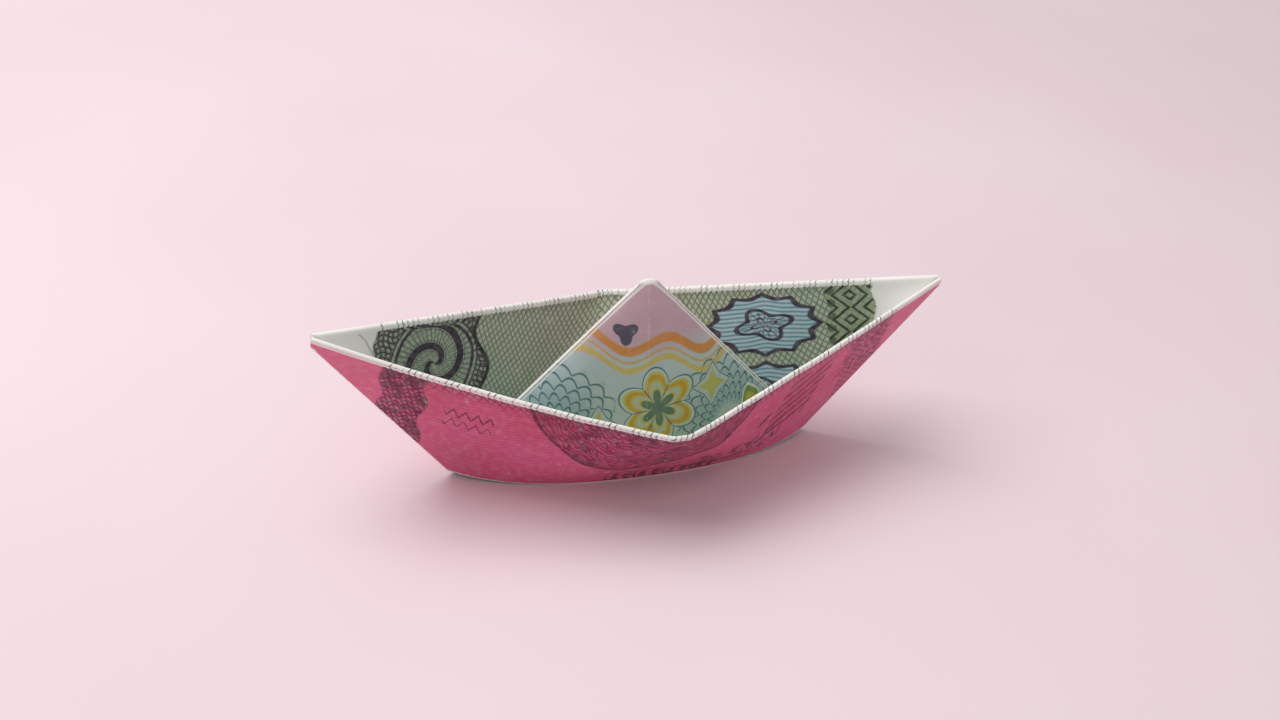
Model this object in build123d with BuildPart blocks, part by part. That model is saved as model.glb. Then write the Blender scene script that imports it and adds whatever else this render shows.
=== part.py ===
"""A paper boat, folded from one oblong sheet of paper and pulled open.

X runs from tip to tip, Y across the beam with the near side at negative Y, and Z up.
The origin lies under the middle of the boat, on the surface that it stands on.
All sizes are in millimetres.
"""

import os
from math import hypot, sqrt

from build123d import *

# The sheet, and how its folds share it out
sheet_length = 134.0
sheet_width = 65.0
paper = 0.11
wall_height = 14.3
tip_edge = 0.9
brim_turns = 2

# Layers of folded paper that lie on the single panel, on the side of the well
brim_layers = 2
flap_layers = 2

# How far the folded boat is pulled open, and how its folds bend
foot_gap = 8.0
foot_taper = 0.68
foot_fullness = 0.68
foot_rise = 0.5
wall_lean = 8.1
dip_height = 10.5
dip_width = 1.4
gunwale_slack = 0.25

# The folds themselves: how round, blunt, pressed or open they are
gunwale_puff = 0.07
fold_inset = 0.1
foot_press = 0.03
apex_width = 0.9
tent_drop = 0.6
slit_width = 0.3
slit_start = 0.12
slit_reach = 0.8

# Sizes that follow from how the sheet is folded
half_width = sheet_width / 2
keel_run = wall_height - tip_edge
keel_length = sqrt(2) * keel_run
sail_height = half_width - keel_run
brim_height = ((sheet_length - sheet_width) / 2 - tip_edge) / brim_turns
brim_on_sail = brim_height - wall_height
half_foot = sqrt(sail_height**2 - (foot_gap / 2) ** 2) - foot_taper
foot_level = -foot_press
apex_level = foot_level + sail_height
far_sail_layers = 1 + flap_layers
near_wall_layers = 1 + brim_layers
far_wall_layers = far_sail_layers + brim_layers


def on_line(start, end, share):
    """The point that lies a share of the way from start to end."""
    return start + (end - start) * share


def flipped(point, x=1, y=1):
    """A point or its mirror image in the boat's middle planes, where x or y is -1."""
    return Vector(point.X * x, point.Y * y, point.Z)


def crossing(start, along, other_start, other_along):
    """The point where two lines of one plane cross, each with a start and a direction."""
    square = along.cross(other_along)
    share = (other_start - start).cross(other_along).dot(square) / square.dot(square)
    return start + along * share


def keel_end(foot, dip, reach, keel):
    """Where a keel fold ends, in the boat's middle plane.

    It lies one keel fold away from the foot of the keel and one reach away from the
    dip of the wall, so it is the outer one of the two points where two circles meet.
    """
    run_x = foot.X - dip.X
    run_z = foot.Z - dip.Z
    apart = hypot(run_x, run_z)
    along = (reach**2 - keel**2 + apart**2) / (2 * apart)
    aside = sqrt(reach**2 - along**2)
    x = dip.X + (along * run_x - aside * run_z) / apart
    z = dip.Z + (along * run_z + aside * run_x) / apart
    return Vector(x, 0, z)


# Corners on the outside of the paper, for the quarter on the near side towards positive X
foot_end = Vector(half_foot, 0, foot_level + foot_rise)
foot_pull = Vector(half_foot * foot_fullness, -foot_gap / 2, foot_level)
foot_middle = Vector(0, -foot_gap / 2, foot_level)
dip_middle = foot_middle + Vector(0, -wall_lean, dip_height)
dip_end = dip_middle + Vector(dip_width / 2, 0, 0)
seam_dip = on_line(foot_middle, dip_middle, keel_run / wall_height)
seam_reach = sqrt((half_width - gunwale_slack) ** 2 - seam_dip.Y**2)
seam_tip = keel_end(foot_end, Vector(0, 0, seam_dip.Z), seam_reach, keel_length)

# The gunwale's tip, where the flat sheet puts it in the plane of the wall's corner panel
tip_down = tip_edge / wall_height
tip_across = 1 - tip_down * (sail_height - dip_width / 2) / (half_width - dip_width / 2)
gunwale_tip = dip_end + (seam_tip - dip_end - (foot_end - dip_end) * tip_down) / tip_across

# The top of the hollow inside the sail, where its two panels lean on each other
tent_middle = Vector(0, 0, apex_level - tent_drop)
tent_end = tent_middle + Vector(apex_width / 4, 0, 0)

# Directions square to the paper and into the well: in the middle of the wall and of the
# sail, in the wall's corner panel and at the edge of the sail
wall_in = Vector(-1, 0, 0).cross(dip_middle - foot_middle).normalized()
sail_in = Vector(1, 0, 0).cross(tent_middle - foot_middle).normalized()
corner_in = (seam_tip - dip_end).cross(foot_end - dip_end).normalized()
edge_in = (tent_end - foot_end).cross(foot_pull - foot_end).normalized()


def row(end, middle):
    """The end, the halfway point and the middle of a straight edge."""
    return [end, on_line(end, middle, 0.5), middle]


def band(first_row, second_row):
    """The face that is straight between two rows, each the three poles of a curve."""
    return Face.make_bezier_surface([first_row, second_row])


def panel(*corners):
    """A flat face with these corners."""
    return Face(Wire.make_polygon(corners))


def edge_step(direction, depth):
    """How a panel's edge moves in the boat's middle plane when the panel moves by a depth."""
    in_plane = Vector(direction.X, 0, direction.Z)
    return in_plane * (depth / in_plane.dot(in_plane))


def on_sail(points, depth):
    """Points on the inside of the sail, moved out through a depth of paper."""
    end, pull, middle = points
    return [end + edge_step(edge_in, depth), pull + sail_in * depth, middle + sail_in * depth]


def quarter(wall_layers, sail_layers):
    """The quarter on the near side towards positive X, as one solid between its faces."""
    wall_depth = paper * wall_layers
    sail_depth = paper * sail_layers
    brim_depth = sail_depth + paper * brim_layers

    # The outside of the wall, from the foot up to the gunwale
    foot_row = [foot_end, foot_pull, foot_middle]
    dip_row = row(dip_end, dip_middle)

    # The inside of the wall, whose tip stops at the boat's middle plane
    keel_step = edge_step(corner_in, wall_depth)
    seam_inside = seam_tip + keel_step
    dip_inside = dip_end + corner_in * wall_depth
    dip_inside_row = row(dip_inside, dip_middle + wall_in * wall_depth)
    tip_inside = gunwale_tip + corner_in * wall_depth
    to_middle_plane = dip_inside.Y / (dip_inside.Y - tip_inside.Y)
    tip_inside = on_line(dip_inside, tip_inside, min(1, to_middle_plane))

    # The valley where the brim turns from the wall up on to the sail
    sail_edge = tent_end - foot_end
    sail_middle = tent_middle - foot_middle
    wall_foot = foot_middle + wall_in * wall_depth
    brim_end, _, brim_middle = on_sail(foot_row, brim_depth)
    valley_end = crossing(foot_end + keel_step, seam_tip - foot_end, brim_end, sail_edge)
    valley_middle = crossing(wall_foot, dip_middle - foot_middle, brim_middle, sail_middle)
    valley_row = [valley_end, foot_pull + (valley_middle - foot_middle), valley_middle]

    # The sail: its inside, the strip of brim across its foot, and its face up to the apex
    tent_row = row(tent_end, tent_middle)
    brim_share = brim_on_sail / sail_height
    brim_edge = [on_line(low, high, brim_share) for low, high in zip(foot_row, tent_row)]
    strip_row = on_sail(brim_edge, brim_depth)
    ledge_row = on_sail(brim_edge, sail_depth)
    apex_end = Vector(apex_width / 2, 0, apex_level)
    apex_middle = Vector(0, 0, apex_level)
    apex_row = row(apex_end, apex_middle + Vector(0, -sail_depth, 0))

    faces = [
        band(foot_row, dip_row),
        panel(foot_end, seam_tip, gunwale_tip, dip_end),
        band(dip_row, dip_inside_row),
        Face.make_bezier_surface([[dip_end, gunwale_tip], [dip_inside, tip_inside]]),
        Face.make_bezier_surface([[seam_tip, gunwale_tip], [seam_inside, tip_inside]]),
        panel(valley_end, seam_inside, tip_inside, dip_inside),
        band(dip_inside_row, valley_row),
        band(valley_row, strip_row),
        band(strip_row, ledge_row),
        band(ledge_row, apex_row),
        panel(apex_end, apex_middle, apex_row[2]),
        band(tent_row, foot_row),
    ]

    # Its flat faces in the boat's two middle planes
    keel_corners = [foot_end, seam_tip, seam_inside, valley_end, strip_row[0], ledge_row[0]]
    faces.append(panel(*keel_corners, apex_end, apex_middle, tent_middle, tent_end))
    wall_corners = [foot_middle, dip_middle, dip_inside_row[2], valley_middle]
    sail_corners = [strip_row[2], ledge_row[2], apex_row[2], apex_middle, tent_middle]
    faces.append(panel(*wall_corners, *sail_corners))
    return Solid(Shell(faces))


with BuildPart() as paper_boat:
    # One half: the near side has its panel and brim, and one panel in the sail, and the far
    # side has the corner flaps of the sheet on its panels too
    add(quarter(near_wall_layers, sail_layers=1))
    add(quarter(far_wall_layers, far_sail_layers).mirror(Plane.XZ))
    mirror(about=Plane.YZ)

    # The slit where the two corner flaps meet, from the brim up and down to the far panel
    far_foot = flipped(foot_middle, y=-1)
    slit_foot = on_line(far_foot, tent_middle, (brim_on_sail + slit_start) / sail_height)
    with BuildSketch(Plane(origin=slit_foot, x_dir=(1, 0, 0), z_dir=tent_middle - far_foot)):
        with Locations((0, paper)):
            Rectangle(slit_width, slit_reach, align=(Align.CENTER, Align.MIN))
    extrude(amount=sail_height, mode=Mode.SUBTRACT)

    # The gunwales, where the brims turn over into the boat in a round fold
    for y, layers in ((1, near_wall_layers), (-1, far_wall_layers)):
        half_depth = paper * layers / 2
        from_tip = (dip_end - gunwale_tip).normalized() * fold_inset
        tip = gunwale_tip + from_tip + corner_in * half_depth
        dip = dip_end + corner_in * half_depth
        with BuildLine(mode=Mode.PRIVATE) as gunwale:
            Polyline(flipped(tip, -1, y), flipped(dip, -1, y), flipped(dip, 1, y), flipped(tip, 1, y))
        path = gunwale.wire()
        with BuildSketch(Plane(origin=path @ 0, z_dir=path % 0)):
            Circle(half_depth + gunwale_puff)
        sweep(path=path, transition=Transition.RIGHT)

    # The two lowest folds, pressed flat where the boat stands on them
    split(bisect_by=Plane.XY, keep=Keep.TOP)

paper_boat.part.label = "paper_boat"
os.makedirs("parts", exist_ok=True)
export_step(paper_boat.part, "parts/paper_boat.step")
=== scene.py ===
import math

import bpy
import numpy as np
from mathutils import Matrix, Vector


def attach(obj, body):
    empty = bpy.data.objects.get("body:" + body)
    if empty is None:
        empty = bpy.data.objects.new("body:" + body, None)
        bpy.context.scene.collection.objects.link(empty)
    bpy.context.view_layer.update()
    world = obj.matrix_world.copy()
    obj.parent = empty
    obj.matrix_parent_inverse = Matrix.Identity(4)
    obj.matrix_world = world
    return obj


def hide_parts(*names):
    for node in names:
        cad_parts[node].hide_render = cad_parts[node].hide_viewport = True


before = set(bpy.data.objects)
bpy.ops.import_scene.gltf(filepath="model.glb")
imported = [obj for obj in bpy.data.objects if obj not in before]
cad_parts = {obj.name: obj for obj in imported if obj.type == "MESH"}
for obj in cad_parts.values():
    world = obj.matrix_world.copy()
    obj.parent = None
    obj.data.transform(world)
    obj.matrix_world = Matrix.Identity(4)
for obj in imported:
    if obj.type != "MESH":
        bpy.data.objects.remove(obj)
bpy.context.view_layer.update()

# The printed sheet: one oblong of banknote paper, 134 by 65 mm, printed on both sides in
# fine lines. Its finishes read each point's place on the flat sheet from the attribute flat:
# the distance from the sheet's middle, the distance along the fold, and the side of the boat.
SHEET_LENGTH = 134.0
HALF_WIDTH = 32.5
WALL_HEIGHT = 14.3
TIP_EDGE = 0.9
BRIM_HEIGHT = ((SHEET_LENGTH - HALF_WIDTH * 2) / 2 - TIP_EDGE) / 2
KEEL_RUN = WALL_HEIGHT - TIP_EDGE
SAIL_HEIGHT = HALF_WIDTH - KEEL_RUN
GUNWALE_U = HALF_WIDTH + TIP_EDGE
PRINT_END = 26.4
PAPER_SHEEN = 0.35


def ink(red, green, blue):
    """A colour from its red, green and blue out of 255, as the shader's linear values.

    Each is divided by 255, offset by 0.055 and raised to the power 2.4, as screen colours are.
    """
    return tuple(((c / 255 + 0.055) / 1.055) ** 2.4 for c in (red, green, blue)) + (1,)


class Field:
    """A number that changes over the surface, with its arithmetic kept as Math nodes."""

    def __init__(self, tree, socket):
        """The number that a socket gives, in its node tree."""
        self.tree = tree
        self.socket = socket

    def math(self, operation, *others):
        """This number, and any others, put through one operation of a Math node."""
        node = self.tree.nodes.new("ShaderNodeMath")
        node.operation = operation
        for slot, value in zip(node.inputs, (self, *others)):
            if isinstance(value, Field):
                self.tree.links.new(value.socket, slot)
            else:
                slot.default_value = value
        return Field(self.tree, node.outputs[0])

    def __add__(self, other):
        """The sum of the two numbers."""
        return self.math("ADD", other)

    def __sub__(self, other):
        """The number less the other."""
        return self.math("SUBTRACT", other)

    def __mul__(self, other):
        """The product of the two numbers."""
        return self.math("MULTIPLY", other)

    def __truediv__(self, other):
        """The number divided by the other."""
        return self.math("DIVIDE", other)

    def sin(self):
        """The sine of the number, in radians."""
        return self.math("SINE")

    def abs(self):
        """The number without its sign."""
        return self.math("ABSOLUTE")

    def highest(self, other):
        """The higher of the two numbers."""
        return self.math("MAXIMUM", other)

    def lowest(self, other):
        """The lower of the two numbers."""
        return self.math("MINIMUM", other)

    def turned(self):
        """One minus the number."""
        return (self * -1) + 1

    def ramp(self, start, end):
        """A soft step from 0 at the start to 1 at the end, which may be the lower of the two."""
        node = self.tree.nodes.new("ShaderNodeMapRange")
        node.interpolation_type = "SMOOTHSTEP"
        self.tree.links.new(self.socket, node.inputs["Value"])
        node.inputs["From Min"].default_value = min(start, end)
        node.inputs["From Max"].default_value = max(start, end)
        node.inputs["To Min"].default_value = 0.0 if start < end else 1.0
        node.inputs["To Max"].default_value = 1.0 if start < end else 0.0
        return Field(self.tree, node.outputs["Result"])

    def between(self, low, high, soft):
        """1 between two values and 0 outside them, with soft edges."""
        return self.ramp(low - soft, low + soft) * self.ramp(high + soft, high - soft)

    def repeated(self, period):
        """How far the number is from the middle of its period: its fraction less a half, scaled."""
        return ((self / period).math("FRACT") - 0.5) * period

    def ruled(self, spacing, width, soft):
        """Lines of a width, with soft edges, in the middle of each spacing of the number."""
        return self.repeated(spacing).abs().ramp(width / 2 + soft, max(width / 2 - soft, 0))

    def inked(self, under, over):
        """A colour, with another laid over it by this mask."""
        node = self.tree.nodes.new("ShaderNodeMix")
        node.data_type = "RGBA"
        self.tree.links.new(self.socket, node.inputs[0])
        for slot, colour in ((node.inputs[6], under), (node.inputs[7], over)):
            if isinstance(colour, tuple):
                slot.default_value = colour
            else:
                self.tree.links.new(colour, slot)
        return node.outputs[2]


def round_about(u, v, centre_u, centre_v, squash=1.0):
    """The distance from a centre and the angle about it, with the v axis squashed.

    The distance is the root of the sum of the two squares, and the angle is the arctangent.
    """
    off_u = u - centre_u
    off_v = (v - centre_v) * squash
    return (off_u * off_u + off_v * off_v).math("SQRT"), off_u.math("ARCTAN2", off_v)


def noise(tree, place, scale, detail):
    """Smooth noise over a place, with about this many blobs in each unit of the place.

    A place on the flat sheet is in millimetres, and one on the object is in metres.
    """
    node = tree.nodes.new("ShaderNodeTexNoise")
    node.inputs["Scale"].default_value = scale
    node.inputs["Detail"].default_value = detail
    tree.links.new(place, node.inputs["Vector"])
    return Field(tree, node.outputs["Fac"])


def new_group(name, inputs, outputs):
    """A shader node group with its named number and colour sockets, and its two ends."""
    group = bpy.data.node_groups.new(name, "ShaderNodeTree")
    for direction, sockets in (("INPUT", inputs), ("OUTPUT", outputs)):
        for label, kind in sockets:
            group.interface.new_socket(label, in_out=direction, socket_type="NodeSocket" + kind)
    return group, group.nodes.new("NodeGroupInput"), group.nodes.new("NodeGroupOutput")


def net_group():
    """Two sets of thin rings, each evenly spaced about its own far centre, that cross in a net.

    A line lies halfway through each spacing of the distance from the centre. The second set
    wavers a little along the fold, by a sine.
    """
    inputs = [(label, "Float") for label in ("U", "V", "Spacing", "Reach")]
    group, start, end = new_group("line_net", inputs, [("Mask", "Float")])
    u, v, spacing, reach = (Field(group, socket) for socket in start.outputs[:4])
    there, _ = round_about(u, v, reach * -0.55 + GUNWALE_U, reach * -0.8)
    back, _ = round_about(u, v, reach * -0.5 + GUNWALE_U, reach)
    lines = (there / spacing).ruled(1.0, 0.24, 0.13)
    crossed = ((back + (v * 0.24).sin() * 0.8) / spacing).ruled(1.0, 0.24, 0.13)
    group.links.new(lines.highest(crossed).socket, end.inputs["Mask"])
    return group


def bumped(tree, height, strength, distance, under=None):
    """The normal that a height gives, on top of an earlier normal where there is one."""
    node = tree.nodes.new("ShaderNodeBump")
    node.inputs["Strength"].default_value = strength
    node.inputs["Distance"].default_value = distance
    tree.links.new(height.socket, node.inputs["Height"])
    if under is not None:
        tree.links.new(under, node.inputs["Normal"])
    return node.outputs["Normal"]


def worn_group():
    """Paper under print: faint fibres and blotches, a fine tooth, and folds worn white.

    Where the fold mask and the tooth together are high, the ink is gone and the white paper
    shows. Elsewhere the fibres fade the ink, most where slow waves meet them, and blotches
    soil it. The tooth and the wear make the paper rougher, and the tooth, fibres and waves
    give its relief.
    """
    group, start, end = new_group(
        "worn_paper",
        [("Colour", "Color"), ("Fold", "Float")],
        [("Colour", "Color"), ("Roughness", "Float"), ("Normal", "Vector")],
    )
    colour = start.outputs["Colour"]
    fold = Field(group, start.outputs["Fold"])
    place = group.nodes.new("ShaderNodeTexCoord").outputs["Object"]
    tooth = noise(group, place, 4200.0, 4.0)
    fibres = noise(group, place, 1500.0, 6.0)
    blotch = noise(group, place, 150.0, 3.0)
    waves = noise(group, place, 340.0, 1.0)
    bare = (fold + (tooth - 0.5) * 0.7).ramp(0.22, 0.72)
    rubbed = fibres.ramp(0.62, 0.74) * waves.ramp(0.48, 0.62)
    faded = (fibres.ramp(0.35, 0.75) * 0.09 + rubbed * 0.22).inked(colour, ink(244, 240, 234))
    soiled = (blotch.ramp(0.48, 0.8) * 0.1).inked(faded, ink(112, 96, 92))
    white = (blotch.ramp(0.4, 0.7) * 0.4).inked(ink(250, 248, 243), ink(226, 222, 212))
    fine = bumped(group, tooth * 0.5 + fibres, 0.2, 0.00002)
    relief = bumped(group, waves, 0.3, 0.0002, fine)
    group.links.new((bare * 0.94).inked(soiled, white), end.inputs["Colour"])
    group.links.new((tooth * 0.14 + bare * 0.08 + 0.5).socket, end.inputs["Roughness"])
    group.links.new(relief, end.inputs["Normal"])
    return group


line_net = net_group()
worn_paper = worn_group()


def net_of(u, v, spacing, reach):
    """The mask of the crossing rings at this spacing and reach, in millimetres."""
    node = u.tree.nodes.new("ShaderNodeGroup")
    node.node_tree = line_net
    u.tree.links.new(u.socket, node.inputs["U"])
    u.tree.links.new(v.socket, node.inputs["V"])
    node.inputs["Spacing"].default_value = spacing
    node.inputs["Reach"].default_value = reach
    return Field(u.tree, node.outputs["Mask"])


def in_print(v):
    """1 up to the print's end along the fold, on both halves, and 0 past it."""
    return v.abs().ramp(PRINT_END, PRINT_END - 0.4)


def over_the_fold(u, v):
    """The ends of the fine lines that wrap over the gunwale from one side to the other.

    They are slanted lines that fade within a millimetre of the fold, and two sines multiplied
    make them uneven along it.
    """
    lines = (v + u * 0.7).ruled(0.53, 0.15, 0.08)
    uneven = ((v * 0.83).sin() * (v * 2.7).sin()).ramp(-0.9, 0.5) * 0.5 + 0.4
    near_fold = (u - GUNWALE_U).abs().ramp(1.0, 0.3)
    return lines * uneven * near_fold * in_print(v)


# The rose side of the sheet, which shows outside the hull: engraved in two maroons.
# Its rose ground is partly the print's own tint and partly painted pink reflected light,
# and its bare margins past the print are painted pink reflected light.
MAROON = ink(136, 26, 70)
DEEP_MAROON = ink(84, 14, 52)


def rose_ground_and_painted_bounce(tree, place, u, v):
    """Two close roses in soft clouds, under fine rules that wave by a sine along the hull. The roses are
    partly the print's own tint and partly painted pink reflected light.
    """
    clouds = noise(tree, place, 0.1, 1.0).ramp(0.35, 0.65)
    rules = (u + (v * 0.22).sin() * 1.4).ruled(0.46, 0.16, 0.08) * v.between(-24.0, 12.0, 1.0)
    # The rose here is partly print and partly painted pink reflected light on the outer hull.
    colour = clouds.inked(ink(214, 84, 124), ink(222, 98, 142))
    return (rules * 0.4).inked(colour, ink(178, 50, 94))


def rose_medallion(tree, place, u, v, colour):
    """A big disc with five lobes, engraved in rings, with dark shading and curls.

    Its edge is where the distance from its centre and a sine with five crests add up to
    14 mm. The rings follow that distance, pushed about by noise, and the curls follow it
    with a sine of 26 crests.
    """
    grain = noise(tree, place, 0.55, 4.0)
    radius, angle = round_about(u, v, 38.5, -2.2, 1.18)
    lobed = radius + (angle * 5.0).sin() * 0.3
    disc = lobed.ramp(14.4, 14.0)
    rings = (radius + grain * 2.4).ruled(0.5, 0.26, 0.08)
    curls = ((angle * 26.0).sin() * 0.5 + radius).ruled(1.5, 0.24, 0.08)
    colour = (disc * 0.4).inked(colour, ink(164, 40, 84))
    colour = (rings * disc * 0.85).inked(colour, MAROON)
    colour = (disc * grain.ramp(0.48, 0.6) * 0.55).inked(colour, DEEP_MAROON)
    colour = (lobed.between(13.9, 14.2, 0.1) * 0.8).inked(colour, DEEP_MAROON)
    return (curls * disc * grain.ramp(0.52, 0.44) * 0.8).inked(colour, DEEP_MAROON)


def rose_foot(tree, place, v, down, colour):
    """Low on the hull: a spray of leaves, and a band of short strokes under two thin rules."""
    leaves = noise(tree, place, 1.3, 4.0).ramp(0.5, 0.58) * v.between(4.0, 14.0, 1.0)
    strokes = (v + (down * 1.7).sin() * 0.22).ruled(0.95, 0.3, 0.1)
    strokes = strokes.highest(v.ruled(1.4, 0.5, 0.1) * 0.8)
    band = v.between(-4.4, 6.6, 0.2)
    rules = down.between(10.6, 10.85, 0.06).highest(down.between(9.6, 9.75, 0.05))
    colour = (leaves * down.between(8.8, 12.6, 0.5) * 0.75).inked(colour, DEEP_MAROON)
    colour = (strokes * band * down.between(11.2, 13.9, 0.12) * 0.9).inked(colour, DEEP_MAROON)
    return (rules * band * 0.8).inked(colour, DEEP_MAROON)


def rose_left_end(tree, place, v, down, colour):
    """A wavy patch of scales and slanted lines with blots on it, and two zigzags beside it."""
    scales = ((v * 3.1).sin().abs() * 0.5 + down).ruled(0.66, 0.24, 0.08)
    slanted = (v - down * 0.3).ruled(0.5, 0.16, 0.07)
    patch = (v + (down * 1.1).sin() * 0.35).between(-PRINT_END, -22.4, 0.12)
    blots = noise(tree, place, 0.8, 2.0).ramp(0.52, 0.56)
    zigzag = down + v.repeated(1.1).abs() * (2.4 / 1.1)
    zigzags = zigzag.between(4.6, 5.05, 0.09).highest(zigzag.between(6.3, 6.6, 0.09))
    colour = (patch * 0.3).inked(colour, ink(160, 40, 88))
    colour = (patch * scales.highest(slanted) * 0.9).inked(colour, DEEP_MAROON)
    colour = (patch * blots * 0.6).inked(colour, DEEP_MAROON)
    return (zigzags * v.between(-20.6, -16.1, 0.08) * 0.9).inked(colour, MAROON)


def rose_right_end(tree, place, u, v, down, colour):
    """Slanted bars with a light line in each, a short dash, and a mottled end under a net."""
    slope = v * 0.42 + down
    bars = slope.ruled(1.45, 0.8, 0.1) * (v + down * 0.25).between(14.0, 19.6, 0.1)
    light_lines = (slope + 0.1).ruled(1.45, 0.14, 0.06)
    dash = (v + down * 0.8).between(15.6, 16.3, 0.08) * down.between(5.4, 6.8, 0.08)
    mottle = noise(tree, place, 1.9, 5.0).ramp(0.47, 0.56) * v.between(20.6, 26.2, 0.3)
    net = (u + v).ruled(0.8, 0.18, 0.07).highest((u - v).ruled(0.8, 0.18, 0.07))
    colour = (bars * down.between(1.6, 9.6, 0.12) * light_lines.turned() * 0.9).inked(colour, MAROON)
    colour = (dash * 0.8).inked(colour, DEEP_MAROON)
    colour = (mottle * down.between(0.3, 7.4, 0.6) * 0.75).inked(colour, MAROON)
    return (net * v.between(21.4, 26.2, 0.15) * 0.6).inked(colour, DEEP_MAROON)


def rose_side(tree, place, u, v):
    """The rose side, zone over zone, with a fringe of crossing lines under the gunwale, and its bare white
    margins past the print painted pink as painted reflected light.

    It is worn at the gunwale, at the foot and at the keel, which is the fold where the
    distance from the sheet's middle equals the distance along the fold.
    """
    down = (u * -1) + GUNWALE_U
    colour = rose_ground_and_painted_bounce(tree, place, u, v)
    colour = rose_medallion(tree, place, u, v, colour)
    colour = rose_foot(tree, place, v, down, colour)
    colour = rose_left_end(tree, place, v, down, colour)
    colour = rose_right_end(tree, place, u, v, down, colour)
    fringe = net_of(u, v, 0.62, 40.0) * down.ramp(2.2, 0.4) * in_print(v)
    colour = (fringe * 0.75).inked(colour, DEEP_MAROON)
    # Past the print's end the bare white paper is painted pink: painted reflected light, not ink.
    colour = (v.abs().ramp(PRINT_END, PRINT_END + 0.3) * 0.85).inked(colour, ink(224, 104, 140))
    wrapped = over_the_fold(u, v) * 0.8
    colour = wrapped.inked(colour, ink(70, 66, 70))
    gunwale = down.abs().ramp(0.34, 0.08) * wrapped.turned()
    foot = (u - SAIL_HEIGHT).abs().ramp(0.34, 0.04) * 0.62
    keel = (v.abs() - u).abs().ramp(0.3, 0.02) * 0.6
    return colour, gunwale.highest(foot).highest(keel)


# The green side of the sheet, which shows on the brim inside the boat.
PLUM = ink(52, 30, 56)
BLACK = ink(26, 30, 28)
BARE_PAPER = ink(246, 245, 242)


def green_ground(tree, place, u, v):
    """Pale greens in soft clouds, yellower in the middle, under a net of crossing rings."""
    clouds = noise(tree, place, 0.12, 2.0).ramp(0.35, 0.65)
    colour = clouds.inked(ink(184, 198, 176), ink(198, 204, 180))
    colour = (v.between(-3.0, 12.0, 4.0) * 0.6).inked(colour, ink(206, 212, 176))
    return (net_of(u, v, 0.52, 40.0) * 0.75).inked(colour, ink(58, 84, 70))


def green_left_band(u, v, down, left, colour):
    """A band at the left end: a row of hatched discs, each with a scroll, on a wavy mesh.

    A scroll is the sine of twice the angle and the distance together, a spiral with two
    arms. The band is closed by a black rule with scallops.
    """
    band = left.between(-26.2, -15.4, 0.12)
    radius, turn = round_about((down - 0.6).repeated(6.6), v, 0.0, -20.6, 0.92)
    outline = radius + (turn * 4.0).sin() * 0.12
    mesh = (u + (v * 2.6).sin() * 0.2).ruled(0.5, 0.2, 0.08)
    mesh = mesh.highest((v + (u * 2.6).sin() * 0.2).ruled(0.5, 0.2, 0.08))
    hatch = (turn * 44.0).sin().ramp(0.2, 0.7) * outline.between(0.5, 3.9, 0.1)
    scroll = (turn * 2.0 + radius * 3.1).sin()
    inside = radius.ramp(3.6, 3.4)
    thick = scroll.ramp(0.35, 0.62) * inside
    echo = scroll.between(-0.1, 0.12, 0.12) * inside
    rims = outline.between(3.7, 4.0, 0.08).highest(outline.between(4.25, 4.4, 0.06))
    rule = left.between(-15.6, -15.2, 0.08)
    scallops = (turn * 40.0).sin().ramp(0.0, 0.5) * left.between(-16.3, -15.2, 0.1)
    colour = (band * 0.55).inked(colour, ink(168, 184, 160))
    colour = (band * radius.ramp(4.2, 4.4) * mesh * 0.9).inked(colour, PLUM)
    colour = (band * hatch * 0.5).inked(colour, PLUM)
    colour = (band * thick.highest(echo * 0.8).highest(rims) * 0.95).inked(colour, PLUM)
    return (rule.highest(scallops * 0.7) * 0.95).inked(colour, BLACK)


def green_medallions(u, v, down, colour):
    """A row of scalloped ovals in pale blue, each with waves, a rim, a star and petals."""
    oval, turn = round_about((down - 0.4).repeated(6.8), v, 0.0, 15.6, 0.55)
    scalloped = oval + (turn * 6.0).sin().abs() * 0.42
    row = v.between(9.0, 21.6, 0.2)
    inside = scalloped.ramp(3.2, 3.1) * row
    waves = (u + (v * 0.9).sin() * 0.16 + (v * 2.1).sin() * 0.05).ruled(0.42, 0.16, 0.07)
    rim = scalloped.between(2.86, 3.24, 0.07)
    star = oval + (turn * 4.0).sin() * 0.32
    heart = star.between(1.12, 1.44, 0.06).highest(star.between(0.3, 0.5, 0.06))
    petals = star.ramp(1.1, 1.0) * (turn * 20.0).sin().ramp(0.0, 0.5)
    colour = (inside * 0.96).inked(colour, ink(186, 212, 220))
    colour = (waves * inside * 0.9).inked(colour, ink(84, 138, 158))
    return (rim.highest(heart).highest(petals * 0.6) * row * 0.95).inked(colour, PLUM)


def green_right_band(u, v, down, right, colour):
    """A band at the right end: nested lozenges in a chain, beside small dots.

    The lozenges are rings of the two distances from their centre added together, and a dot
    is where two crossing sines are both high.
    """
    band = right.between(21.8, 26.3, 0.1)
    chain = ((v - 24.1).abs() * 0.8 + down.repeated(2.4).abs()).ruled(0.9, 0.3, 0.08)
    dots = ((u * 5.2).sin() + (v * 4.6).sin()).ramp(0.3, 0.7) * 0.7
    colour = (band * 0.7).inked(colour, ink(150, 170, 130))
    return (band * chain.highest(dots * v.ramp(23.2, 22.6)) * 0.95).inked(colour, BLACK)


def green_margins(u, v, left, right, colour):
    """Bare ends past the print's wavy borders, with one thin arc on the left one."""
    ends = left.ramp(-26.1, -26.3).highest(right.ramp(26.3, 26.5))
    from_centre, _ = round_about(u, v, GUNWALE_U + 7.5, -36.5)
    arc = from_centre.between(10.9, 11.05, 0.06) * v.ramp(-26.6, -26.9)
    colour = ends.inked(colour, BARE_PAPER)
    return (arc * 0.45).inked(colour, ink(96, 90, 92))


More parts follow.
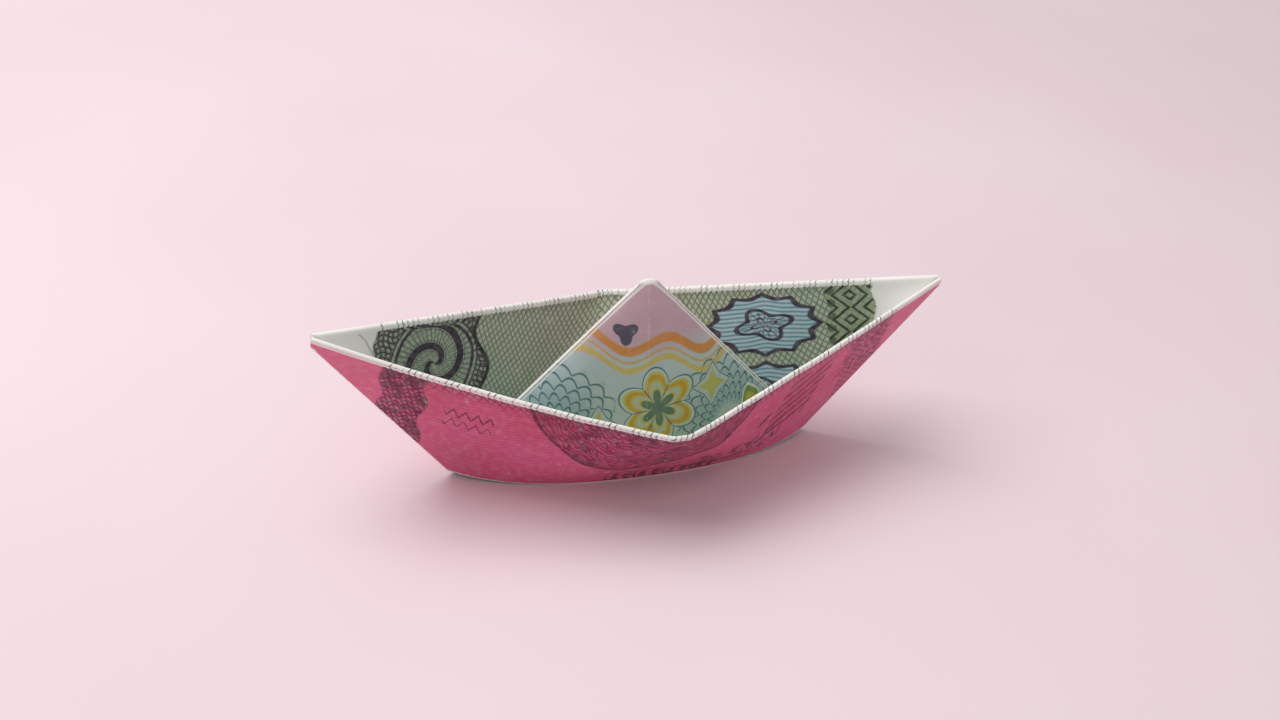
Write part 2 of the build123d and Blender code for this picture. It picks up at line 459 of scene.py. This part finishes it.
def green_side(tree, place, u, v):
    """The green side, zone over zone, between a left and a right border that wave by a sine.

    It is worn at the gunwale, where the brim turns on to the sail, and at the brim's top.
    """
    down = u - GUNWALE_U
    left = v + (down * 0.95).sin() * 0.7
    right = v + (down * 1.9).sin() * 0.16
    colour = green_ground(tree, place, u, v)
    colour = green_left_band(u, v, down, left, colour)
    colour = green_medallions(u, v, down, colour)
    colour = green_right_band(u, v, down, right, colour)
    colour = green_margins(u, v, left, right, colour)
    wrapped = over_the_fold(u, v)
    colour = (wrapped * 0.7).inked(colour, ink(60, 66, 62))
    gunwale = down.abs().ramp(0.4, 0.1) * (wrapped * 0.75).turned()
    valley = (down - WALL_HEIGHT).abs().ramp(0.35, 0.05) * 0.5
    brim_top = (down - BRIM_HEIGHT).abs().ramp(0.25, 0.03)
    return colour, gunwale.highest(valley).highest(brim_top)


# The middle of the sheet, which shows on the sail, with its flower, lozenges and shields.
TEAL = ink(48, 112, 120)
YELLOW = ink(206, 200, 74)
LOZENGES = ((13.6, -4.6), (10.9, 6.6))
SHIELDS = ((14.6, -9.4), (14.2, 11.2))


def sail_ground(tree, place, u, v):
    """Mauve at the apex, which drifts into pale blue and then pale green down to the foot."""
    reach = v.abs() * 0.12 + u + noise(tree, place, 0.2, 1.0) * 2.0
    colour = reach.ramp(6.0, 9.5).inked(ink(214, 176, 190), ink(198, 214, 214))
    return (reach.ramp(13.0, 18.5) * 0.7).inked(colour, ink(196, 216, 188))


def sail_fans(u, v, colour):
    """A fan of scales on each side: rings about a centre, each broken into arches.

    An arch is the sine of eleven times the angle without its sign, and each ring's arches
    are set on by half an arch from those of the ring inside it.
    """
    radius, turn = round_about(u, v.abs(), 14.6, 8.6)
    ring = radius / 0.85
    arch = (turn * 11.0 + ring.math("FLOOR") * (math.pi / 2)).sin().abs() * 0.72
    arches = (ring.math("FRACT") - arch).abs().ramp(0.2, 0.06)
    fans = radius.between(1.5, 6.8, 0.3) * u.ramp(5.6, 6.6) * v.abs().ramp(2.8, 3.4)
    colour = (fans * radius.ramp(6.8, 2.0) * 0.45).inked(colour, ink(120, 176, 182))
    return (arches * fans * 0.85).inked(colour, TEAL)


def sail_bands(u, v, colour):
    """Three slanted bands in orange and yellow, which wave by a sine, across the upper sail."""
    band = u + (v * 0.85).sin() * 0.75 - v * 0.12
    colour = (band.between(5.5, 6.4, 0.12) * 0.92).inked(colour, ink(226, 146, 48))
    colour = (band.between(6.9, 7.15, 0.08) * 0.85).inked(colour, ink(222, 176, 84))
    return (band.between(7.5, 8.1, 0.12) * 0.85).inked(colour, ink(222, 196, 84))


def sail_flower(u, v, colour):
    """A flower with six petals, rimmed in teal, with an orange and a pale ring and veins.

    Its outline and rings are where the distance from its centre, less a sine with six
    crests, has a set value.
    """
    radius, angle = round_about(u, v, 12.2, 1.1)
    six_crests = (angle * 3.0 + 0.4).sin().abs()
    petals = radius + six_crests * -1.5 + 0.6
    veins = petals.ramp(1.0, 0.85).highest(six_crests.ramp(0.14, 0.08)) * radius.ramp(2.5, 2.3)
    colour = (petals.ramp(3.3, 3.2) * 0.97).inked(colour, ink(206, 220, 214))
    colour = (petals.between(3.05, 3.22, 0.05) * 0.9).inked(colour, TEAL)
    colour = (petals.ramp(2.8, 2.7) * 0.95).inked(colour, YELLOW)
    colour = (petals.between(2.0, 2.45, 0.1) * 0.8).inked(colour, ink(222, 154, 54))
    colour = (petals.between(1.15, 1.7, 0.08) * 0.85).inked(colour, ink(196, 208, 196))
    return (veins * 0.8).inked(colour, TEAL)


def sail_bud(u, v, colour):
    """A slate bud with three lobes near the apex: a disc with a sine of three crests."""
    radius, angle = round_about(u, v, 4.7, -2.0)
    lobed = radius + (angle * 3.0).sin() * 0.26
    return (lobed.ramp(1.0, 0.86) * 0.92).inked(colour, ink(70, 72, 96))


def sail_lozenge(u, v, centre_u, centre_v, colour):
    """A pale lozenge with hollow sides and two teal rims, and a yellow star in it.

    The lozenge's reach is the two distances from its centre and half the shorter one, and
    the star's is the longer distance and 2.4 times the shorter one.
    """
    off_u = (u - centre_u).abs()
    off_v = (v - centre_v).abs()
    shorter = off_u.lowest(off_v)
    lozenge = off_u + off_v + shorter * 0.5
    star = shorter * 2.4 + off_u.highest(off_v)
    rims = lozenge.between(2.0, 2.16, 0.05).highest(lozenge.between(1.05, 1.15, 0.04))
    colour = (lozenge.ramp(2.3, 2.2) * 0.85).inked(colour, ink(202, 216, 214))
    colour = (rims * 0.9).inked(colour, TEAL)
    return (star.ramp(1.6, 1.45) * 0.85).inked(colour, YELLOW)


def sail_shield(u, v, centre_u, centre_v, colour):
    """A pale oval with four soft lobes, and a green and a yellow one inside it."""
    oval, turn = round_about(u, v, centre_u, centre_v, 1.5)
    shield = oval + (turn * 4.0).sin() * 0.16
    colour = (shield.ramp(2.0, 1.9) * 0.95).inked(colour, ink(236, 240, 230))
    colour = (shield.ramp(1.75, 1.65) * 0.95).inked(colour, ink(128, 164, 66))
    return (shield.ramp(1.25, 1.1) * 0.9).inked(colour, YELLOW)


def sail_side(tree, place, u, v):
    """The side that shows on the sail, zone over zone, with two wavy rules along its foot.

    It is worn at the apex, faintly along its middle crease, and at its edge folds, where the
    distances from the sheet's middle and along the fold are equal.
    """
    colour = sail_ground(tree, place, u, v)
    colour = sail_fans(u, v, colour)
    colour = sail_bands(u, v, colour)
    colour = sail_flower(u, v, colour)
    colour = sail_bud(u, v, colour)
    for centre_u, centre_v in LOZENGES:
        colour = sail_lozenge(u, v, centre_u, centre_v, colour)
    for centre_u, centre_v in SHIELDS:
        colour = sail_shield(u, v, centre_u, centre_v, colour)
    hem = u + (v * 0.7).sin() * 0.7
    colour = (hem.between(16.2, 17.0, 0.12) * 0.85).inked(colour, YELLOW)
    colour = (hem.between(17.3, 17.5, 0.06) * 0.8).inked(colour, TEAL)
    edge = ((u - v.abs()).abs() / math.sqrt(2)).ramp(0.24, 0.05)
    crease = v.abs().ramp(0.2, 0.04) * 0.3
    apex = u.ramp(0.5, 0.1) * 0.7
    return colour, edge.highest(crease).highest(apex)


def cut_side(tree, place, u, v):
    """A cut edge: bare white paper with faint slanted lines, and no fold."""
    lines = (u * 3.0 + v).ruled(0.7, 0.12, 0.06)
    return (lines * 0.25).inked(ink(248, 246, 240), ink(196, 186, 180)), lines * 0.0


def printed_finish(name, draw):
    """A paper finish: draw gives the printed colour and the fold mask from u and v."""
    material = bpy.data.materials.new(name)
    material.use_nodes = True
    tree = material.node_tree
    flat = tree.nodes.new("ShaderNodeAttribute")
    flat.attribute_name = "flat"
    parts = tree.nodes.new("ShaderNodeSeparateXYZ")
    tree.links.new(flat.outputs["Vector"], parts.inputs[0])
    u, v = (Field(tree, socket) for socket in parts.outputs[:2])
    colour, fold = draw(tree, flat.outputs["Vector"], u, v)
    worn = tree.nodes.new("ShaderNodeGroup")
    worn.node_tree = worn_paper
    tree.links.new(colour, worn.inputs["Colour"])
    tree.links.new(fold.socket, worn.inputs["Fold"])
    shader = tree.nodes["Principled BSDF"]
    shader.inputs["Specular IOR Level"].default_value = PAPER_SHEEN
    tree.links.new(worn.outputs["Colour"], shader.inputs["Base Color"])
    tree.links.new(worn.outputs["Roughness"], shader.inputs["Roughness"])
    tree.links.new(worn.outputs["Normal"], shader.inputs["Normal"])
    return material


OUTSIDE, INSIDE, SAIL, CUT = range(4)
finishes = [
    printed_finish("rose_print_and_painted_bounce", rose_side),
    printed_finish("green_print", green_side),
    printed_finish("sail_print", sail_side),
    printed_finish("cut_edge", cut_side),
]

# The two sides of the boat. On each, one panel of the sheet stands up as the wall of the hull
# and comes back down as a face of the sail. Its brim is turned over twice into the boat, and
# the corners of the sheet lie on the far panels as flaps, which meet at a slit.
MM = 0.001
PAPER = 0.11
BRIM_LAYERS = 2
FLAP_LAYERS = 2
NEAR, FAR = -1, 1
BRIM_ON_SAIL = BRIM_HEIGHT - WALL_HEIGHT

# How far the boat is pulled open, and how its folds bend, sag and ripple
FOOT_GAP = 8.0
FOOT_TAPER = 0.68
FOOT_FULLNESS = 0.70
FOOT_RISE = 0.5
FOOT_LEVEL = -0.03
WALL_LEAN = 8.1
DIP_HEIGHT = 10.5
DIP_WIDTH = 1.4
APEX_WIDTH = 0.9
SLIT_WIDTH = 0.3
GUNWALE_SLACK = 0.25
GUNWALE_PUFF = 0.06
PUFF_REACH = 0.6
SAG_OUT = 0.2
SAG_DOWN = 0.5
RIGHT_SAG_SHARE = 0.35
RIPPLE = 0.05
RIDGE = 0.09
RIDGE_REACH = 0.8
ROLL_WIDTH = 0.5
VALLEY_DEPTHS = 2.2

# How finely the surfaces are worked out. The tent inside the sail has as many steps as the
# strip and the face outside it, so that the profile's two halves are level at its ends.
TIP_TO_TIP_STEPS = 241
SLIT_STEPS = 25
SLIT_SPREAD = 0.03
RISE_STEPS = 57
ROLL_STEPS = 10
STRIP_STEPS = 8
FACE_STEPS = 58
TENT_STEPS = STRIP_STEPS + FACE_STEPS
FOLD_STEPS = 200
SOFT_PASSES = 10

half_foot = math.sqrt(SAIL_HEIGHT ** 2 - (FOOT_GAP / 2) ** 2) - FOOT_TAPER
foot_end = np.array([half_foot, 0.0, FOOT_LEVEL + FOOT_RISE])
foot_middle = np.array([0.0, FOOT_GAP / 2, FOOT_LEVEL])
foot_pull = np.array([half_foot * FOOT_FULLNESS, FOOT_GAP / 2, FOOT_LEVEL])
dip_middle = foot_middle + np.array([0.0, WALL_LEAN, DIP_HEIGHT])
dip_end = dip_middle + np.array([DIP_WIDTH / 2, 0.0, 0.0])
apex_end = np.array([APEX_WIDTH / 2, 0.0, FOOT_LEVEL + SAIL_HEIGHT])


def keel_tip():
    """The keel's top, one keel fold from the foot's end and one half width from the seam's dip.

    It is the outer one of the two points where two circles in the middle plane meet.
    """
    seam_dip = foot_middle + (dip_middle - foot_middle) * KEEL_RUN / WALL_HEIGHT
    reach = math.sqrt((HALF_WIDTH - GUNWALE_SLACK) ** 2 - seam_dip[1] ** 2)
    keel = math.sqrt(2) * KEEL_RUN
    run_x = foot_end[0]
    run_z = foot_end[2] - seam_dip[2]
    apart = math.hypot(run_x, run_z)
    along = (reach ** 2 - keel ** 2 + apart ** 2) / (2 * apart)
    aside = math.sqrt(reach ** 2 - along ** 2)
    x = (along * run_x - aside * run_z) / apart
    z = seam_dip[2] + (along * run_z + aside * run_x) / apart
    return np.array([x, 0.0, z])


seam_tip = keel_tip()
tip_down = TIP_EDGE / WALL_HEIGHT
tip_across = 1 - tip_down * (SAIL_HEIGHT - DIP_WIDTH / 2) / (HALF_WIDTH - DIP_WIDTH / 2)
gunwale_tip = dip_end + (seam_tip - dip_end - (foot_end - dip_end) * tip_down) / tip_across


def foot_line(share):
    """The lowest fold from its middle to its end by its length, a quadratic curve."""
    steps = np.linspace(0, 1, FOLD_STEPS)[:, None]
    curve = foot_middle * (1 - steps) ** 2 + foot_pull * 2 * steps * (1 - steps) + foot_end * steps ** 2
    length = np.concatenate([[0], np.cumsum(np.linalg.norm(np.diff(curve, axis=0), axis=1))])
    wanted = np.clip(share, 0, 1) * length[-1]
    return np.stack([np.interp(wanted, length, curve[:, axis]) for axis in range(3)], axis=-1)


def placed(points, across, side):
    """Points of one quarter, turned to the left half where across is below 0, and to their side."""
    turn = np.stack([np.where(across < 0, -1.0, 1.0), across * 0 + side, across * 0 + 1], axis=-1)
    return points * turn


def half_width_at(rise):
    """How far the wall reaches at a rise: the sail's height and the rise, up to half the width."""
    return np.minimum(SAIL_HEIGHT + rise, HALF_WIDTH)


def wall_surface(across, rise, side):
    """The wall as the flat sheet bends: a cone from the dip to the foot, and flat corners.

    The cone lies under the two creases from the dip to the foot's ends, and the flat corner
    outside each crease runs on along the gunwale and the keel. The near gunwale sags by a
    parabola between its dip and each tip, less on the right.
    """
    down, sideways = np.broadcast_arrays(1 - rise / WALL_HEIGHT, np.abs(across) * half_width_at(rise))
    half_cone = (1 - down) * DIP_WIDTH / 2 + down * SAIL_HEIGHT
    share = sideways / half_cone
    dip = dip_middle + (dip_end - dip_middle) * np.clip(share, 0, 1)[..., None]
    cone = dip + down[..., None] * (foot_line(share) - dip)
    outside = (sideways - half_cone) / (HALF_WIDTH - DIP_WIDTH / 2)
    corner = dip_end + down[..., None] * (foot_end - dip_end) + outside[..., None] * (gunwale_tip - dip_end)
    points = np.where(share[..., None] <= 1, cone, corner)
    if side == NEAR:
        sag = np.abs(across) * (1 - np.abs(across)) * 4 * (1 - down)
        sag = sag * np.where(across < 0, 1, RIGHT_SAG_SHARE)
        points = points + sag[..., None] * np.array([0, SAG_OUT, -SAG_DOWN])
    return placed(points, across + rise * 0, side)


def sail_surface(across, climb, side):
    """A face of the sail: straight from the foot fold to the blunt apex, climb from 0 to 1."""
    across, climb = np.broadcast_arrays(across, climb)
    top = apex_end * np.stack([np.abs(across), across * 0, across * 0 + 1], axis=-1)
    foot = foot_line(np.abs(across))
    return placed(foot + (top - foot) * climb[..., None], across, side)


def softened(points):
    """Each point moved halfway to the mean of its neighbours, over and over, the ends held."""
    points = points.copy()
    for _ in range(SOFT_PASSES):
        points[1:-1] = (points[1:-1] * 2 + points[:-2] + points[2:]) / 4
        points[1:-1, 1:-1] = (points[1:-1, 1:-1] * 2 + points[1:-1, :-2] + points[1:-1, 2:]) / 4
    return points


def unit(vectors):
    """Vectors scaled to length 1."""
    return vectors / np.maximum(np.linalg.norm(vectors, axis=-1, keepdims=True), 1e-9)


def outward(points, side):
    """Unit normals of a grid of points, turned to their own side of the boat.

    Each is the cross product of the grid's two slopes.
    """
    normal = unit(np.cross(np.gradient(points, axis=0), np.gradient(points, axis=1)))
    middle = normal[len(normal) // 2, normal.shape[1] // 2]
    return normal * (1 if middle[1] * side > 0 else -1)


def rippled(wall, wall_out, across, rise, side):
    """The wall with slow ripples, two sines multiplied, that fade towards the foot and tips."""
    slow = np.sin(across * 9.0 + rise * 0.5)
    quick = np.sin(across * 23.0 + side)
    fade = (1 - across ** 2) * np.sin(math.pi * rise / WALL_HEIGHT * 0.75)
    return wall + wall_out * (RIPPLE * slow * quick * fade)[..., None]


def at_rises(wall, rise):
    """The wall's points at other rises, each straight between the two rows about it."""
    row = rise / WALL_HEIGHT * (RISE_STEPS - 1)
    low_row = np.minimum(row.astype(int), RISE_STEPS - 2)
    part_way = (row - low_row)[:, None]
    return wall[:, low_row] * (1 - part_way) + wall[:, low_row + 1] * part_way


def rolled(outer, inner, upward, turn):
    """The gunwale: half a circle from the outer edge of the wall up and over to the inner one."""
    half_fold = (outer - inner) / 2
    radius = np.linalg.norm(half_fold, axis=-1)[:, None, None]
    turn = turn[None, :, None]
    middle = (outer + inner)[:, None] / 2
    return middle + half_fold[:, None] * np.cos(turn) + upward[:, None] * np.sin(turn) * radius


def sail_depth(face, sail_layers):
    """How thick the sail is: one layer with a ridge at its crease, or layers with a slit.

    The ridge falls off by an exponential of the distance from the middle.
    """
    from_middle = np.abs(face[..., 0])
    if sail_layers == 1:
        return PAPER + RIDGE * np.exp(-from_middle / RIDGE_REACH)
    return np.where(from_middle < SLIT_WIDTH / 2, PAPER, PAPER * sail_layers)


def flat_place(u, v, side):
    """Places on the flat sheet for a grid of points: u and v in millimetres, and the side."""
    u, v = np.broadcast_arrays(u, v)
    return np.stack([u, v, u * 0 + side], axis=-1)


def closed_faces(rows, columns):
    """The faces between the rows of a closed profile, and its first and last row zipped shut.

    Each end is a strip of faces, from one half of the profile to the points level with it on
    the other half.
    """
    index = np.arange(rows * columns).reshape(rows, columns)
    wide = np.concatenate([index, index[:, :1]], axis=1)
    around = np.stack([wide[:-1, :-1], wide[1:, :-1], wide[1:, 1:], wide[:-1, 1:]], axis=-1)
    half = np.arange(columns // 2 - 1)
    ends = [
        np.stack([ring[half], ring[half + 1], ring[-2 - half], ring[-1 - half]], axis=-1)[:, ::order]
        for ring, order in ((index[0], 1), (index[-1], -1))
    ]
    return np.concatenate([around.reshape(-1, 4)] + ends)


def facing_out(points, faces):
    """The faces in the order of corners that makes the volume inside them positive.

    The volume is the sum of the triple products of each face's corners.
    """
    first, second, third, fourth = (points[faces[:, corner]] for corner in range(4))
    volume = (first * (np.cross(second, third) + np.cross(third, fourth))).sum()
    return faces if volume > 0 else faces[:, ::-1]


def carried_mesh(name, points, flats, columns_finish):
    """A closed profile carried along rows as one piece, with its two ends as cut edges.

    Each column of points has its finish, and each point keeps its place on the flat sheet,
    in millimetres, as the attribute flat.
    """
    rows, columns = points.shape[:2]
    points = points.reshape(-1, 3)
    faces = facing_out(points, closed_faces(rows, columns))
    mesh = bpy.data.meshes.new(name)
    mesh.from_pydata((points * MM).tolist(), [], faces.tolist())
    flat = mesh.attributes.new("flat", "FLOAT_VECTOR", "POINT")
    flat.data.foreach_set("vector", np.ascontiguousarray(flats, dtype=np.float32).reshape(-1))
    for finish in finishes:
        mesh.materials.append(finish)
    finish_index = np.full(len(faces), CUT)
    finish_index[: columns * (rows - 1)] = np.tile(columns_finish, rows - 1)
    mesh.polygons.foreach_set("material_index", finish_index.astype(np.int32))
    mesh.polygons.foreach_set("use_smooth", finish_index != CUT)
    mesh.update()
    piece = bpy.data.objects.new(name, mesh)
    bpy.context.collection.objects.link(piece)
    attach(piece, "root")
    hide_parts("paper_boat")


def side_of_boat(name, side, sail_layers):
    """One side of the boat as one closed profile carried from tip to tip.

    The profile runs down inside the tent, round the foot, up the wall, over the gunwale in
    half a circle, down the brim, up the strip of brim on the sail, and on up to the apex.
    The steps from tip to tip are spread by a sine, with close ones at the slit. A flap is a
    corner of the sheet turned over the sail's edge, so its u and v change places.
    """
    spread = np.sin(np.linspace(-1, 1, TIP_TO_TIP_STEPS) * math.pi / 2)
    at_slit = np.linspace(-SLIT_SPREAD, SLIT_SPREAD, SLIT_STEPS)
    across = np.unique(np.concatenate([spread, at_slit]))[:, None]
    rise = np.linspace(0, WALL_HEIGHT, RISE_STEPS)[None, :]
    turn = np.linspace(0, math.pi, ROLL_STEPS + 2)[1:-1]
    brim_depth = PAPER * (sail_layers + BRIM_LAYERS)
    valley = brim_depth * VALLEY_DEPTHS
    brim_rise = np.linspace(valley, WALL_HEIGHT, RISE_STEPS)
    brim_edge = BRIM_ON_SAIL / SAIL_HEIGHT
    strip_climb = np.linspace(valley / SAIL_HEIGHT, brim_edge, STRIP_STEPS)[None, :]
    face_climb = np.linspace(brim_edge, 1, FACE_STEPS)[None, :]
    tent_climb = np.linspace(1, 0, TENT_STEPS)[None, :]

    wall = softened(wall_surface(across, rise, side))
    wall_out = outward(wall, side)
    wall = rippled(wall, wall_out, across, rise, side)
    puff = GUNWALE_PUFF * np.exp(-(((WALL_HEIGHT - rise) / PUFF_REACH) ** 2))[..., None]
    outer = wall + wall_out * puff
    inner = wall - wall_out * (brim_depth + puff)
    roll = rolled(outer[:, -1], inner[:, -1], unit(wall[:, -1] - wall[:, -2]), turn)
    brim = at_rises(inner, brim_rise)[:, ::-1]
    tent = sail_surface(across, tent_climb, side)
    strip = sail_surface(across, strip_climb, side)
    strip = strip + outward(strip, side) * brim_depth
    face = sail_surface(across, face_climb, side)
    face = face + outward(face, side) * sail_depth(face, sail_layers)[..., None]
    profile = np.concatenate([tent, outer, roll, brim, strip, face], axis=1)
    profile[..., 1] = np.where(profile[..., 1] * side < 0, 0, profile[..., 1])
    profile[..., 2] = np.maximum(profile[..., 2], 0)

    tent_u = SAIL_HEIGHT * (1 - tent_climb)
    strip_u = SAIL_HEIGHT * (1 - strip_climb)
    face_u = SAIL_HEIGHT * (1 - face_climb)
    roll_u = GUNWALE_U + (turn[None, :] / math.pi - 0.5) * ROLL_WIDTH
    brim_u = GUNWALE_U + WALL_HEIGHT - brim_rise[None, :]
    face_flat = flat_place(face_u, across * face_u, side)
    if sail_layers > 1:
        face_flat = flat_place(np.abs(across) * face_u, np.sign(across) * face_u, side)
    flats = np.concatenate([
        flat_place(tent_u, across * tent_u * -side, side),
        flat_place(SAIL_HEIGHT + rise, across * half_width_at(rise) * -side, side),
        flat_place(roll_u, across * HALF_WIDTH * side, side),
        flat_place(brim_u, across * half_width_at(brim_rise[None, :]) * side, side)[:, ::-1],
        flat_place(GUNWALE_U + WALL_HEIGHT + SAIL_HEIGHT - strip_u, across * strip_u * side, side),
        face_flat,
    ], axis=1)
    outside = TENT_STEPS + RISE_STEPS + ROLL_STEPS // 2
    inside = ROLL_STEPS // 2 + RISE_STEPS + STRIP_STEPS
    columns_finish = np.repeat([OUTSIDE, INSIDE, SAIL], [outside, inside, FACE_STEPS])
    carried_mesh(name, profile, flats, columns_finish)


side_of_boat("near_side", NEAR, 1)
side_of_boat("far_side", FAR, 1 + FLAP_LAYERS)

# The edges of the sail, where the near panel is folded round on to the far one as its
# corner flaps. The fold is round, and it runs up one side, over the blunt apex and down.
EDGE_RADIUS = 0.18
EDGE_OUT = 0.05
EDGE_BACK = 0.08
EDGE_START = 0.05
EDGE_END = 0.985
EDGE_STEPS = 60
CROWN_HEIGHT = 0.24
CROWN_STEPS = 8
AROUND_STEPS = 12


def sail_edge():
    """A circle carried up one edge of the sail, over the apex, and down the other edge.

    Over the apex the path is a quarter of an ellipse, and its left half mirrors the right.
    Along the path, u is the distance from the apex. The fold runs at 45 degrees on the flat
    sheet, so v is less than u by root two times the distance round the circle from its rim.
    """
    climb = np.linspace(EDGE_START, EDGE_END, EDGE_STEPS)
    up = foot_end + (apex_end - foot_end) * climb[:, None] + np.array([EDGE_OUT, EDGE_BACK, 0])
    sweep = np.linspace(0, math.pi / 2, CROWN_STEPS + 1)[1:, None]
    over = up[-1] * np.array([0, 1, 1]) + np.concatenate(
        [up[-1, 0] * np.cos(sweep), sweep * 0, CROWN_HEIGHT * np.sin(sweep)], axis=1
    )
    half = np.concatenate([up, over])
    path = np.concatenate([half, (half * np.array([-1, 1, 1]))[-2::-1]])
    across = np.array([0.0, 1.0, 0.0])
    square = unit(np.cross(unit(np.gradient(path, axis=0)), across))
    turn = np.linspace(0, 2 * math.pi, AROUND_STEPS, endpoint=False)
    circle = np.cos(turn)[None, :, None] * across + np.sin(turn)[None, :, None] * square[:, None]
    rings = path[:, None] + EDGE_RADIUS * circle
    walked = SAIL_HEIGHT * (1 - np.concatenate([climb, np.ones(CROWN_STEPS)]))
    walked = np.concatenate([walked, walked[-2::-1]])
    from_rim = np.abs((turn - math.pi / 2) % (2 * math.pi) - math.pi) * EDGE_RADIUS * math.sqrt(2)
    u, from_rim = np.broadcast_arrays(walked[:, None], from_rim[None, :])
    v = (u - from_rim) * np.where(path[:, :1] < 0, -1, 1)
    carried_mesh("sail_edge", rings, flat_place(u, v, 0), np.full(AROUND_STEPS, SAIL))


sail_edge()

# The room: a pale floor that the boat stands on, soft light from above and the camera at
# the photograph's angle. None of it is part of the boat.
FLOOR_REACH = 2.0
FLOOR_ROUGHNESS = 0.7


def floor_finish():
    """Pale matt board, a little rosy, made the least bit uneven by noise."""
    material = bpy.data.materials.new("pale_board")
    material.use_nodes = True
    tree = material.node_tree
    shader = tree.nodes["Principled BSDF"]
    place = tree.nodes.new("ShaderNodeTexCoord").outputs["Object"]
    tint = noise(tree, place, 14.0, 3.0).ramp(0.3, 0.7)
    colour = tint.inked(ink(236, 214, 220), ink(240, 220, 226))
    tree.links.new(colour, shader.inputs["Base Color"])
    shader.inputs["Roughness"].default_value = FLOOR_ROUGHNESS
    return material


floor_corners = [(x * FLOOR_REACH, y * FLOOR_REACH, 0) for x, y in ((-1, -1), (1, -1), (1, 1), (-1, 1))]
floor_mesh = bpy.data.meshes.new("floor")
floor_mesh.from_pydata(floor_corners, [], [(0, 1, 2, 3)])
floor_mesh.materials.append(floor_finish())
floor = bpy.data.objects.new("floor", floor_mesh)
bpy.context.collection.objects.link(floor)

ROOM_COLOUR = (1.0, 0.99, 0.98, 1)
ROOM_LIGHT = 0.46
LAMP_SIZE = 0.3
LAMP_POWER = 1.15
LAMP_PLACE = Vector((-0.14, 0.10, 0.36))

world = bpy.data.worlds.new("room")
world.use_nodes = True
world.node_tree.nodes["Background"].inputs["Color"].default_value = ROOM_COLOUR
world.node_tree.nodes["Background"].inputs["Strength"].default_value = ROOM_LIGHT
bpy.context.scene.world = world

lamp = bpy.data.lights.new("window", "AREA")
lamp.size = LAMP_SIZE
lamp.energy = LAMP_POWER
lamp_object = bpy.data.objects.new("window", lamp)
lamp_turn = LAMP_PLACE.to_track_quat("Z", "Y").to_matrix().to_4x4()
lamp_object.matrix_world = Matrix.Translation(LAMP_PLACE) @ lamp_turn
bpy.context.collection.objects.link(lamp_object)

IMAGE_WIDTH = 1280
FOCAL_PIXELS = 1357.0
CAMERA_AZIMUTH = math.radians(-20.4)
CAMERA_ELEVATION = math.radians(34.0)
CAMERA_ROLL = math.radians(5.65)
CAMERA_DISTANCE = 126.3
CAMERA_NEAREST = 0.005
AIM_HEIGHT = 8.0
AIM_RIGHT = 0.06
AIM_UP = 2.13

back = Vector((
    math.sin(CAMERA_AZIMUTH) * math.cos(CAMERA_ELEVATION),
    -math.cos(CAMERA_AZIMUTH) * math.cos(CAMERA_ELEVATION),
    math.sin(CAMERA_ELEVATION),
))
level = Vector((math.cos(CAMERA_AZIMUTH), math.sin(CAMERA_AZIMUTH), 0))
rolled_view = Matrix.Rotation(CAMERA_ROLL, 3, back)
view_right = rolled_view @ level
view_up = rolled_view @ back.cross(level)
aim = Vector((0, 0, AIM_HEIGHT)) + view_right * AIM_RIGHT + view_up * AIM_UP
camera_data = bpy.data.cameras.new("camera")
camera_data.lens = FOCAL_PIXELS * camera_data.sensor_width / IMAGE_WIDTH
camera_data.clip_start = CAMERA_NEAREST
camera = bpy.data.objects.new("camera", camera_data)
camera.matrix_world = (
    Matrix.Translation((aim + back * CAMERA_DISTANCE) * MM)
    @ Matrix((view_right, view_up, back)).transposed().to_4x4()
)
bpy.context.collection.objects.link(camera)
bpy.context.scene.camera = camera
bpy.context.scene.view_settings.view_transform = "Standard"
